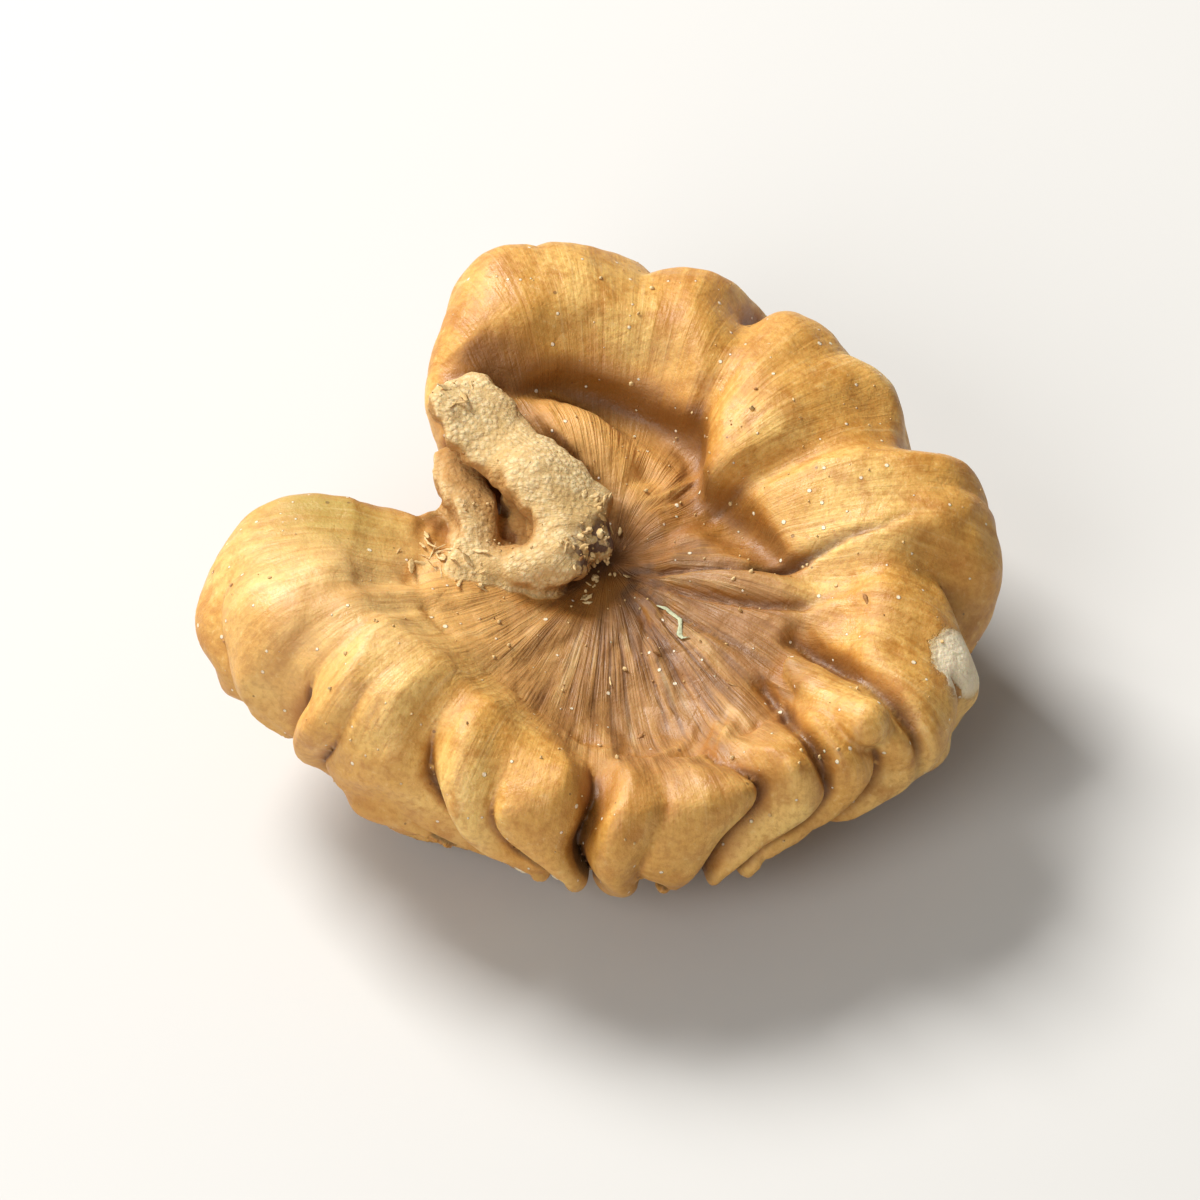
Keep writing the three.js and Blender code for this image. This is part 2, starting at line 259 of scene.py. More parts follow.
@dataclass(frozen=True)
class TornRoot:
    """Pale torn root of the dividing wall, left standing beside the hub."""

    plates: tuple[Bar, ...] = (
        Bar((-6.4, 5.4, -0.9), (-1.6, 0.9, -1.7), (1.7, 0.65)),
        Bar((-6.0, -1.2, -3.1), (-1.6, -1.4, -2.9), (1.0, 0.8)),
        Bar((-6.2, 4.0, -3.0), (-5.4, -0.8, -3.3), (0.9, 0.8)),
        Bar((-3.2, 2.4, -2.9), (-1.2, -0.6, -2.6), (1.3, 1.0)),
    )
    centre: Triple = (-4.0, 2.0, -2.2)
    reach: float = 7.5
    granule: float = 0.028

    def distance(self, x: Array, y: Array, z: Array) -> Array:
        """Bent flat plates, joined, with granular and ragged faces."""
        x, y, z = np.broadcast_arrays(x, y, z)
        out = np.full(x.shape, 4.0)
        near = (x - self.centre[0]) ** 2 + (y - self.centre[1]) ** 2 + (z - self.centre[2]) ** 2
        near = near < self.reach**2
        px, py, pz = x[near], y[near], z[near]
        jx = px + 0.25 * Unevenness(41, 3.6).at(px, py, pz) + 0.07 * Unevenness(51, 1.1).at(px, py, pz)
        jy = py + 0.25 * Unevenness(43, 3.6).at(px, py, pz) + 0.07 * Unevenness(52, 1.1).at(px, py, pz)
        jz = pz + 0.30 * Unevenness(45, 4.2).at(px, py, pz)
        d = self.plates[0].flat_distance(jx, jy, jz)
        for plate in self.plates[1:]:
            d = join(d, plate.flat_distance(jx, jy, jz), plate.blend)
        d -= self.granule * Unevenness(61, 0.95, 6).at(px, py, pz)
        d -= 0.6 * self.granule * Unevenness(62, 0.55, 6).at(px, py, pz)
        out[near] = np.minimum(d, 4.0)
        return out


@dataclass(frozen=True)
class KernelShape:
    """The kernel half as a signed distance: negative inside, positive outside."""

    notch_bearing: float = 150.0
    rim_reach: float = 14.7
    rim_swells: tuple[Triple, ...] = ((-27, 1.9, 30), (-155, 1.9, 35), (95, 0.5, 25), (45, -0.9, 22))
    web_reach: float = 8.6
    web_swells: tuple[Triple, ...] = ((-72, 3.2, 36), (36, -3.8, 38))
    roll_height: float = 3.7
    roll_start: float = -158.0
    roll_end: float = 107.0
    roll_dips: tuple[Triple, ...] = ((-80, -1.5, 36),)
    roll_power: float = 2.3
    slope_power: float = 1.45
    rim_drops: tuple[Triple, ...] = ((-172, 1.3, 45), (-80, 1.3, 36))
    web_drop: float = 3.8
    web_rise: float = 1.7
    fan_swells: tuple[Triple, ...] = ((-78, 2.6, 30),)
    notch_start: float = 6.2
    notch_flare: float = 0.36
    notch_swing: float = 7.0
    furrow_radius: float = 0.8
    fold_reach: float = 3.3
    minor_crease: float = 0.6
    upper_lobe: Ellipsoid = Ellipsoid((-0.6, 6.2, -4.2), (12.6, 7.4, 8.4))
    lower_lobe: Ellipsoid = Ellipsoid((0.2, -6.6, -4.2), (13.2, 7.6, 8.6))
    bridge: Ellipsoid = Ellipsoid((-2.6, 0.0, -6.3), (10.6, 6.5, 5.6))
    web_folds: tuple[Bar, ...] = (
        Bar((-4.4, 7.0, -3.9), (-1.4, 5.4, -3.2), (1.1, 1.5), 1.0),
        Bar((-1.4, 5.4, -3.2), (1.4, 2.2, -3.8), (1.5, 1.0), 1.0),
        Bar((6.9, -5.6, -2.4), (10.4, -9.7, -0.8), (0.65, 1.0), 0.4),
        Bar((3.4, -0.6, -4.0), (7.4, -1.9, -3.0), (0.7, 0.9), 0.9),
    )
    grooves: tuple[Groove, ...] = (
        Groove(((0.5, -0.6), (3.2, -0.8), (7.6, -1.0), (10.8, -0.6), (13.4, 1.1)), 0.34, 0.24, 0.6),
        Groove(((1.0, -1.0), (3.6, -2.0), (7.8, -2.9), (9.8, -3.0)), 0.34, 0.26, 0.6),
        Groove(((1.0, -1.6), (3.4, -3.6), (6.2, -5.6)), 0.28, 0.24),
        Groove(((0.6, -2.0), (2.0, -5.4), (3.4, -9.0)), 0.22, 0.24),
        Groove(((7.0, -4.1), (9.6, -6.8), (13.4, -10.6)), 0.75, 0.42, 0.75),
        Groove(((5.6, -6.2), (7.2, -8.6), (9.4, -12.4)), 0.65, 0.42, 0.75),
        Groove(((5.6, 1.4), (8.0, 3.6), (12.0, 7.6)), 0.38, 1.1, 0.8),
        Groove(((3.6, 7.4), (5.0, 9.6), (6.7, 13.0)), 0.25, 0.9, 0.8),
        Groove(((-8.2, -2.4), (-10.6, -4.6), (-14.4, -8.4)), 0.35, 0.9, 0.8),
    )
    root: TornRoot = TornRoot()

    def rim_at(self, th: Array) -> Array:
        """Hub to rim along a bearing."""
        return swell(th, self.rim_swells, self.rim_reach)

    def web_at(self, th: Array) -> Array:
        """Hub to the inner edge of the rolled rim along a bearing."""
        return swell(th, self.web_swells, self.web_reach)

    def along_axis(self, x: Array, y: Array) -> tuple[Array, Array]:
        """Distances along the notch axis and across it."""
        a = math.radians(self.notch_bearing)
        return x * math.cos(a) + y * math.sin(a), x * math.sin(a) - y * math.cos(a)

    def _roll(self, x: Array, y: Array, z: Array, th: Array) -> Array:
        """The rolled rim: a superellipse round an arc, rounded off at its ends.

        Its power falls on the inner side, so the roll slopes down to the web.
        """
        mid = math.radians(0.5 * (self.roll_start + self.roll_end))
        half = math.radians(0.5 * (self.roll_end - self.roll_start))
        off = turn(th - mid)
        at = mid + np.clip(off, -half, half)
        outer, inner = self.rim_at(at), self.web_at(at)
        width = (outer - inner) / 2
        height = swell(at, self.roll_dips, self.roll_height)
        ca, sa = np.cos(at), np.sin(at)
        dx, dy = x - (outer + inner) / 2 * ca, y - (outer + inner) / 2 * sa
        past = np.where(np.abs(off) > half, -dx * sa + dy * ca, 0.0)
        out = (dx * ca + dy * sa) / width
        inner_side = ramp(0.3, -0.7, out) * ramp(-5.5, -3.7, z)
        p = self.roll_power + (self.slope_power - self.roll_power) * inner_side
        q = (np.abs(out) ** p + np.abs(past / (0.92 * width)) ** p
             + np.abs((z + self.roll_height) / height) ** p)
        return (q ** (1.0 / p) - 1.0) * np.minimum(width, height)

    def _body(self, x: Array, y: Array, z: Array, rho: Array, th: Array) -> Array:
        """Lobes, bridge, web and roll, with the furrow and the notch cut out."""
        u, v = self.along_axis(x, y)
        web_at = self.web_at(th)
        lobes = join(self.upper_lobe.distance(u, v, z), self.lower_lobe.distance(u, v, z), 1.6)
        web = -self.web_drop + self.web_rise * np.minimum(rho / web_at, 1.3) ** 2
        belly = cut(join(lobes, self.bridge.distance(u, v, z), 1.6), z - web, 1.5)
        solid = join(self._roll(x, y, z, th), belly, 2.6)
        degrees = np.degrees(th)
        on = ramp(-22, 4, degrees) * (1.0 - ramp(100, 125, degrees))
        furrow = np.hypot(rho - web_at + 0.6, z + 2.3) - (self.furrow_radius * on - 0.6 * (1.0 - on))
        swing = math.radians(self.notch_swing)
        along, across = u * math.cos(swing) - v * math.sin(swing), u * math.sin(swing) + v * math.cos(swing)
        notch = 0.5 + self.notch_flare * (along - self.notch_start) - np.abs(across)
        notch = np.where(along < 4.0, -5.0, notch)
        return cut(cut(solid, -furrow, 1.3), 0.95 * notch, 2.2)

    def _crease_depth(self, x: Array, y: Array, z: Array, rho: Array, th: Array) -> Array:
        """Depth of the creases.

        A crease follows a line of equal bearing in elliptic coordinates about two foci on the
        notch axis. Near the face the foci meet, so creases run out from the hub; on the back they
        part, so creases run alongside the line between the lobes. Across a fold the depth falls
        from the crease as 1 minus a quarter circle on the back, and as a soft wave on the face.
        """
        back = ramp(-4.0, -8.5, z)
        u, v = self.along_axis(x, y)
        focus = 0.3 + 7.2 * ramp(-5.0, -10.0, z)
        near, far = np.hypot(u - focus, v), np.hypot(u + focus, v)
        stretch = np.sqrt(np.maximum(near * far, 1e-6))
        nu = np.arccos(np.clip((far - near) / (2.0 * focus), -1.0, 1.0))
        nu = np.where(v < 0.0, 2.0 * math.pi - nu, nu)
        drift = 11.0 * Unevenness(3, 13.0).at(x, y, z) + 5.0 * Unevenness(4, 5.5).at(x, y, z)
        face_drift = 2.0 * Unevenness(5, 6.0).at(x, y, z)
        wander = ramp(-0.8, -7.5, z)
        nu = (nu + np.radians(wander * drift + (1.0 - wander) * face_drift)) % (2.0 * math.pi)

        creases = np.array(CREASES, float)
        bearings = np.radians(creases[:, 0])
        i = np.clip(np.searchsorted(bearings, nu, side="right") - 1, 0, len(bearings) - 2)
        left, right = bearings[i], bearings[i + 1]
        half = (right - left) / 2
        nearest = np.where(nu - left < half, i, i + 1)
        rim_depth, face_depth, back_depth = (creases[nearest, k] for k in (1, 2, 3))
        gap = np.minimum(nu - left, right - nu) * stretch
        wide = np.minimum(half * stretch, self.fold_reach)
        t = np.clip((np.sqrt(gap * gap + 0.16) - 0.4) / np.maximum(wide - 0.25, 1e-3), 0.0, 1.0)
        sharp = 1.0 - np.sqrt(np.maximum(1.0 - (1.0 - t) ** 2, 0.0)) ** 0.9
        outward = rho / self.rim_at(th)
        softness = 0.8 * ramp(-3.2, -0.8, z) * ramp(1.0, 0.78, outward)
        profile = sharp + (1.0 - ramp(0.0, 1.0, t) - sharp) * softness
        rim = ramp(0.7, 1.0, outward)
        face = (1.0 - rim) * ramp(0.75, 1.25, rho / self.web_at(th))
        wall = 1.0 + 0.9 * ramp(-1.2, -3.6, z)
        depth = (rim_depth * wall * rim + face_depth * face) * (1.0 - back) + back_depth * back
        minor = (rim_depth < self.minor_crease) & (back > 0.0)
        depth = np.where(minor, depth * ramp(2.0, 3.4, (right - left) * stretch), depth)
        return np.minimum(depth, 1.1 * wide) * profile * ramp(1.0, 2.5, stretch)

    def fan_at(self, x: Array, y: Array, z: Array) -> Array:
        """1 on the wrinkled web around the hub, 0 on the rolled rim and the back."""
        rho, th = np.hypot(x, y), np.arctan2(y, x)
        reach = self.web_at(th) + swell(th, self.fan_swells, 0.0)
        return (1.0 - ramp(0.78, 1.12, rho / reach)) * ramp(-7.0, -4.6, z)

    def furrow_at(self, x: Array, y: Array) -> Array:
        """1 along the furrow at the web's outer edge: exp(-(gap / 1.3 mm) squared), faded at its ends."""
        rho, th = np.hypot(x, y), np.arctan2(y, x)
        on = ramp(-30, -6, np.degrees(th)) * (1.0 - ramp(85, 120, np.degrees(th)))
        return on * np.exp(-((rho - self.web_at(th) + 0.5) / 1.3) ** 2)

    def _wrinkles(self, x: Array, y: Array, z: Array, rho: Array, th: Array) -> Array:
        """Fine folds that fan out from the hub: four sines of the bearing, stronger outwards."""
        a = th + 0.10 * np.sin(rho * 0.9 + 3.0 * th) + 0.03 * Unevenness(71, 3.0).at(x, y, z)
        waves = (1.1 * np.sin(11 * a + 1.0) + 0.9 * np.sin(23 * a + 2.1)
                 + 0.5 * np.sin(41 * a + 0.4) * ramp(2.0, 4.0, rho)
                 + 0.3 * np.sin(67 * a + 4.4) * ramp(4.0, 6.5, rho))
        patchy = 0.65 + 0.45 * Unevenness(72, 5.0).at(x, y, z)
        return 0.07 * self.fan_at(x, y, z) * ramp(0.6, 4.0, rho) * waves * patchy

    def bend(self, x: Array, y: Array, z: Array) -> tuple[Array, Array, Array]:
        """The growth's slow wander away from a regular shape."""
        return (x + 0.42 * Unevenness(11, 9.0).at(x, y, z), y + 0.42 * Unevenness(12, 9.0).at(x, y, z),
                z + 0.30 * Unevenness(13, 10.0).at(x, y, z))

    def skin_distance(self, x: Array, y: Array, z: Array) -> Array:
        """The kernel without its torn root.

        Args:
            x, y, z: face-frame coordinates, in millimetres.

        Returns:
            Signed distance: body plus creases, joined to the web's folds, less the wrinkles.
        """
        x, y, z = self.bend(x, y, z)
        rho, th = np.hypot(x, y), np.arctan2(y, x)
        z = z + swell(th, self.rim_drops, 0.0) * ramp(4.0, 11.0, rho) * ramp(-9.0, -4.0, z)
        f = self._body(x, y, z, rho, th) + self._crease_depth(x, y, z, rho, th)
        for fold in self.web_folds:
            f = join(f, fold.round_distance(x, y, z), fold.blend)
        back = ramp(-3.6, -7.4, z)
        sub = np.sqrt(Unevenness(21, 7.5, 6).at(x, y, z) ** 2 + 0.004)
        f = f + back * 1.1 * (0.4 - np.minimum(sub, 0.4))
        f = f - (0.05 + 0.10 * back) * Unevenness(31, 3.0, 6).at(x, y, z)
        front = ramp(-5.5, -3.0, z)
        for groove in self.grooves:
            f = f + front * groove.depth_at(x, y)
        return f - self._wrinkles(x, y, z, rho, th) - 0.018 * Unevenness(33, 1.1, 6).at(x, y, z)

    def distance(self, x: Array, y: Array, z: Array) -> Array:
        """The whole kernel half: skin joined to the torn root."""
        return join(self.skin_distance(x, y, z), self.root.distance(x, y, z), 0.5)


# --- From shape to mesh ---


@dataclass(frozen=True)
class SurfaceNet:
    """Wraps a solid in even quads.

    The folds overhang and branch, which a sheet over two parameters can't follow, so the surface
    is read off a three-parameter grid of distances: every cell that the surface passes through
    gets one vertex, at the mean of the places where it crosses the cell's edges, and every grid
    edge that it crosses gets the quad of the four cells round it. Each vertex then slides down
    the slope of the distance until it is zero.
    """

    low: Triple = (-18.4, -17.2, -14.4)
    high: Triple = (18.0, 17.6, 2.2)
    step: float = 0.202
    coarse: int = 4
    near: float = 2.4
    far: float = 9.0
    chunk: int = 300_000
    slides: int = 3
    probe: float = 0.05

    def _distances(self, shape: Distance) -> Array:
        """Distances on the grid, worked out fully only near the surface."""
        big = self.step * self.coarse
        counts = [int(math.ceil((h - l) / big)) + 1 for l, h in zip(self.low, self.high)]
        axes = [l + big * np.arange(n) for l, n in zip(self.low, counts)]
        rough = shape(*np.meshgrid(*axes, indexing="ij"))
        close = np.abs(rough) < self.near * big
        cell = np.zeros([n - 1 for n in counts], bool)
        for corner in np.ndindex(2, 2, 2):
            cell |= close[tuple(slice(c, c + n - 1) for c, n in zip(corner, counts))]
        sign = np.sign(rough[:-1, :-1, :-1]).astype(np.float32)
        for axis in range(3):
            cell, sign = cell.repeat(self.coarse, axis), sign.repeat(self.coarse, axis)
        near = np.pad(cell, ((0, 1),) * 3)
        for axis in range(3):
            near |= np.roll(near, 1, axis)
        values = np.pad(sign * self.far, ((0, 1),) * 3, mode="edge")
        index = np.argwhere(near)
        for part in np.array_split(index, max(1, len(index) // self.chunk)):
            values[tuple(part.T)] = shape(*(np.array(self.low) + self.step * part).T)
        return values

    def wrap(self, shape: Distance) -> tuple[Array, Array]:
        """Wraps the solid.

        Args:
            shape: signed distance at x, y, z.

        Returns:
            Vertices, and quads of vertex numbers that face outwards.
        """
        values = self._distances(shape)
        inside, cells = values < 0, tuple(n - 1 for n in values.shape)
        total, hits = np.zeros((np.prod(cells), 3), np.float32), np.zeros(np.prod(cells), np.float32)
        quads = []
        for axis in range(3):
            a_cut = tuple(slice(0, -1) if k == axis else slice(None) for k in range(3))
            b_cut = tuple(slice(1, None) if k == axis else slice(None) for k in range(3))
            crosses = inside[a_cut] != inside[b_cut]
            a, b = values[a_cut][crosses], values[b_cut][crosses]
            at = np.argwhere(crosses)
            place = at.astype(np.float32)
            place[:, axis] += a / (a - b)
            ring = []
            for back in ((1, 1), (0, 1), (0, 0), (1, 0)):
                corner = at.copy()
                corner[:, [(axis + 1) % 3, (axis + 2) % 3]] -= back
                ring.append(np.ravel_multi_index(corner.T, cells))
                hits += np.bincount(ring[-1], minlength=len(hits))
                for k in range(3):
                    total[:, k] += np.bincount(ring[-1], place[:, k], len(hits))
            quad = np.stack(ring, 1)
            quads.append(np.where(inside[a_cut][crosses][:, None], quad, quad[:, ::-1]))
        used = hits > 0
        verts = total[used] / hits[used, None] * self.step + np.array(self.low)
        for _ in range(self.slides):
            verts = self._slide(verts, shape)
        return verts, (np.cumsum(used) - 1)[np.concatenate(quads)]

    def slope(self, verts: Array, shape: Distance) -> Array:
        """Slope of the distance at each vertex, from differences two probes apart."""
        steps = self.probe * np.eye(3)[:, :, None]
        return np.stack([shape(*(verts.T + d)) - shape(*(verts.T - d)) for d in steps], 1) / (2 * self.probe)

    def _slide(self, verts: Array, shape: Distance) -> Array:
        """One step down the slope towards zero distance, of at most half a grid step."""
        g = self.slope(verts, shape)
        fall = shape(*verts.T) / np.maximum((g * g).sum(1), 0.25)
        return verts - g * np.clip(fall, -0.5 * self.step, 0.5 * self.step)[:, None]


@dataclass(frozen=True)
class RestingPlace:
    """Turns the face frame to how the kernel lies, and puts it where the CAD model is."""

    lean_x: float = 3.15
    lean_y: float = 5.75
    flat_depth: float = 0.5

    @property
    def turned(self) -> Array:
        """Rotation about y, then about x."""
        a, b = math.radians(self.lean_x), math.radians(self.lean_y)
        about_x = np.array([[1, 0, 0], [0, math.cos(a), -math.sin(a)], [0, math.sin(a), math.cos(a)]])
        about_y = np.array([[math.cos(b), 0, math.sin(b)], [0, 1, 0], [-math.sin(b), 0, math.cos(b)]])
        return about_x @ about_y

    def shift(self, verts: Array, low: Array, high: Array) -> Array:
        """Move, in millimetres, that puts the turned kernel on the middle of the CAD box."""
        p = verts @ self.turned.T
        own_low, own_high = p.min(0), p.max(0)
        move = (low + high) / 2 / MM - (own_low + own_high) / 2
        move[2] = -own_low[2] - self.flat_depth
        return move

    def put(self, points: Array, move: Array) -> Array:
        """Points of the face frame in the row frame, in metres, and none below the floor."""
        p = points @ self.turned.T + move
        p[:, 2] = np.maximum(p[:, 2], 0.0)
        return p * MM


def quad_mesh(name: str, verts: Array, quads: Array) -> bpy.types.Object:
    """Makes a smooth-shaded object at the origin from vertices and quads.

    Args:
        name: name of the object and its mesh.
        verts: positions in metres.
        quads: four vertex numbers for each face.

    Returns:
        The object, linked to the scene.
    """
    mesh = bpy.data.meshes.new(name)
    mesh.vertices.add(len(verts))
    mesh.vertices.foreach_set("co", np.ascontiguousarray(verts, np.float32).ravel())
    mesh.loops.add(quads.size)
    mesh.loops.foreach_set("vertex_index", np.ascontiguousarray(quads, np.int32).ravel())
    mesh.polygons.add(len(quads))
    mesh.polygons.foreach_set("loop_start", np.arange(0, quads.size, 4, dtype=np.int32))
    mesh.polygons.foreach_set("use_smooth", np.ones(len(quads), bool))
    mesh.update(calc_edges=True)
    obj = bpy.data.objects.new(name, mesh)
    bpy.context.collection.objects.link(obj)
    return obj


def set_mark(obj: bpy.types.Object, mark: Mark, values: Array) -> None:
    """Stores one value, or one vector, for each vertex."""
    kind, key = ("FLOAT_VECTOR", "vector") if values.ndim == 2 else ("FLOAT", "value")
    layer = obj.data.attributes.new(mark.value, kind, "POINT")
    layer.data.foreach_set(key, np.ascontiguousarray(values, np.float32).ravel())


# --- Finishes ---

Socket = bpy.types.NodeSocket
Rgb = tuple[float, float, float]


@dataclass
class Wiring:
    """Places and links shader nodes in one tree."""

    tree: bpy.types.NodeTree

    def feed(self, socket: Socket, value: object) -> None:
        """Links a socket to an input, or sets the input's own value."""
        if isinstance(value, bpy.types.NodeSocket):
            self.tree.links.new(value, socket)
        elif isinstance(value, tuple) and len(value) == 3 and socket.type == "RGBA":
            socket.default_value = (*value, 1.0)
        else:
            socket.default_value = value

    def add(self, kind: str, feeds: dict, **props: object) -> bpy.types.Node:
        """A new node, its properties set and its inputs fed by name or number."""
        node = self.tree.nodes.new("ShaderNode" + kind)
        for key, value in props.items():
            setattr(node, key, value)
        for key, value in feeds.items():
            self.feed(node.inputs[key], value)
        return node

    def maths(self, operation: str, a: object, b: object = 0.0, limit: bool = False) -> Socket:
        """One arithmetic step."""
        return self.add("Math", {0: a, 1: b}, operation=operation, use_clamp=limit).outputs[0]

    def times(self, *values: object) -> Socket:
        """Product of two or more values."""
        return reduce(lambda a, b: self.maths("MULTIPLY", a, b), values)

    def total(self, *values: object) -> Socket:
        """Sum of two or more values."""
        return reduce(lambda a, b: self.maths("ADD", a, b), values)

    def band(self, value: object, low: float, high: float, start: float = 0.0, end: float = 1.0) -> Socket:
        """Eases from start to end while the value goes from low to high."""
        feeds = dict(enumerate((value, low, high, start, end)))
        return self.add("MapRange", feeds, interpolation_type="SMOOTHSTEP").outputs[0]

    def coat(self, base: object, *coats: tuple[object, object]) -> Socket:
        """Lays colours over a base, each by its share."""
        for share, colour in coats:
            node = self.add("Mix", {0: share}, data_type="RGBA", clamp_factor=True)
            self.feed(node.inputs[6], base)
            self.feed(node.inputs[7], colour)
            base = node.outputs[2]
        return base

    def noise(self, place: Socket, scale: object, detail: float = 2.0, rough: float = 0.5,
              bend: float = 0.0) -> Socket:
        """Soft noise from 0 to 1."""
        return self.add("TexNoise", {"Vector": place, "Scale": scale, "Detail": detail,
                                     "Roughness": rough, "Distortion": bend}).outputs[0]

    def cells(self, place: Socket, scale: object, feature: str = "F1") -> bpy.types.Node:
        """Cells of scattered points."""
        return self.add("TexVoronoi", {"Vector": place, "Scale": scale}, feature=feature)

    def mark(self, mark: Mark) -> Socket:
        """A value that the mesh carries."""
        node = self.add("Attribute", {}, attribute_type="GEOMETRY", attribute_name=mark.value)
        return node.outputs["Vector" if mark is Mark.PLACE else "Fac"]

    def group(self, tree: bpy.types.NodeTree, **values: object) -> bpy.types.NodeOutputs:
        """Outputs of a shared group that is placed with its own values."""
        return self.add("Group", values, node_tree=tree).outputs

    def bump(self, height: Socket, depth: float, strength: float = 1.0) -> Socket:
        """Normal bent by a height, with its depth in millimetres."""
        return self.add("Bump", {"Height": height, "Distance": depth * MM, "Strength": strength}).outputs[0]


def new_material(name: str) -> tuple[bpy.types.Material, Wiring, bpy.types.NodeInputs]:
    """A material, the wiring of its nodes, and its shader's inputs."""
    mat = bpy.data.materials.new(name)
    mat.use_nodes = True
    return mat, Wiring(mat.node_tree), mat.node_tree.nodes["Principled BSDF"].inputs


def new_group(name: str, inputs: dict[str, str], outputs: dict[str, str]
              ) -> tuple[Wiring, Callable, Callable]:
    """Starts a shader group with named sockets.

    Args:
        name: name of the group.
        inputs: socket type for each input name.
        outputs: socket type for each output name.

    Returns:
        The group's wiring, and functions that give an input's socket and an output's socket.
    """
    tree = bpy.data.node_groups.new(name, "ShaderNodeTree")
    for key, kind in inputs.items():
        tree.interface.new_socket(key, in_out="INPUT", socket_type=kind)
    for key, kind in outputs.items():
        tree.interface.new_socket(key, in_out="OUTPUT", socket_type=kind)
    start, end = tree.nodes.new("NodeGroupInput"), tree.nodes.new("NodeGroupOutput")
    return Wiring(tree), lambda key: start.outputs[key], lambda key: end.inputs[key]


@dataclass(frozen=True)
class FleshEffect:
    """Shared effect: bare kernel flesh, pale, mealy and granular."""

    light: Rgb = (0.78, 0.60, 0.32)
    mid: Rgb = (0.60, 0.38, 0.14)
    deep: Rgb = (0.34, 0.17, 0.05)

    def build(self) -> bpy.types.NodeTree:
        """Colour from two sizes of granule, and their height."""
        w, source, sink = new_group("flesh_grain", {"Place": "NodeSocketVector", "Grain": "NodeSocketFloat"},
                                    {"Colour": "NodeSocketColor", "Height": "NodeSocketFloat"})
        place, grain = source("Place"), source("Grain")
        lump = w.band(w.cells(place, grain).outputs["Distance"], 0.75, 0.05)
        small = w.noise(place, w.times(grain, 1.7), 3.0, 0.6)
        patch = w.noise(place, w.times(grain, 0.13), 2.0, 0.5)
        fibre = w.add("Mapping", {"Vector": place, "Rotation": (0.0, 0.0, 0.76), "Scale": (0.22, 1.6, 1.0)})
        threads = w.noise(fibre.outputs[0], w.times(grain, 0.5), 3.0, 0.6)
        w.feed(sink("Colour"), w.coat(
            self.mid, (w.band(lump, 0.0, 0.7, 0.35, 1.0), self.light),
            (w.band(threads, 0.52, 0.34, 0.0, 0.55), self.mid),
            (w.band(small, 0.44, 0.26, 0.0, 0.6), self.deep),
            (w.band(patch, 0.46, 0.64, 0.0, 0.7), self.mid)))
        w.feed(sink("Height"), w.total(w.times(lump, 0.4), w.times(small, 0.6), w.times(threads, 0.8)))
        return w.tree


@dataclass(frozen=True)
class SpeckEffect:
    """Shared effect: tiny scattered specks, sparse and of uneven size."""

    def build(self) -> bpy.types.NodeTree:
        """1 inside a speck: the cell distance is under a size that differs from cell to cell."""
        w, source, sink = new_group(
            "specks", {"Place": "NodeSocketVector", "Scale": "NodeSocketFloat", "Size": "NodeSocketFloat",
                       "Share": "NodeSocketFloat"}, {"Speck": "NodeSocketFloat"})
        cells = w.cells(source("Place"), source("Scale")).outputs
        chance = w.add("SeparateColor", {0: cells["Color"]}).outputs
        kept = w.maths("LESS_THAN", chance[0], source("Share"))
        size = w.times(source("Size"), w.maths("ADD", chance[1], 0.35))
        edge = w.maths("SUBTRACT", 1.0, w.maths("DIVIDE", cells["Distance"], size), limit=True)
        w.feed(sink("Speck"), w.times(kept, w.band(edge, 0.0, 0.35)))
        return w.tree


@dataclass(frozen=True)
class Effects:
    """The groups that the finishes share."""

    flesh: bpy.types.NodeTree
    specks: bpy.types.NodeTree


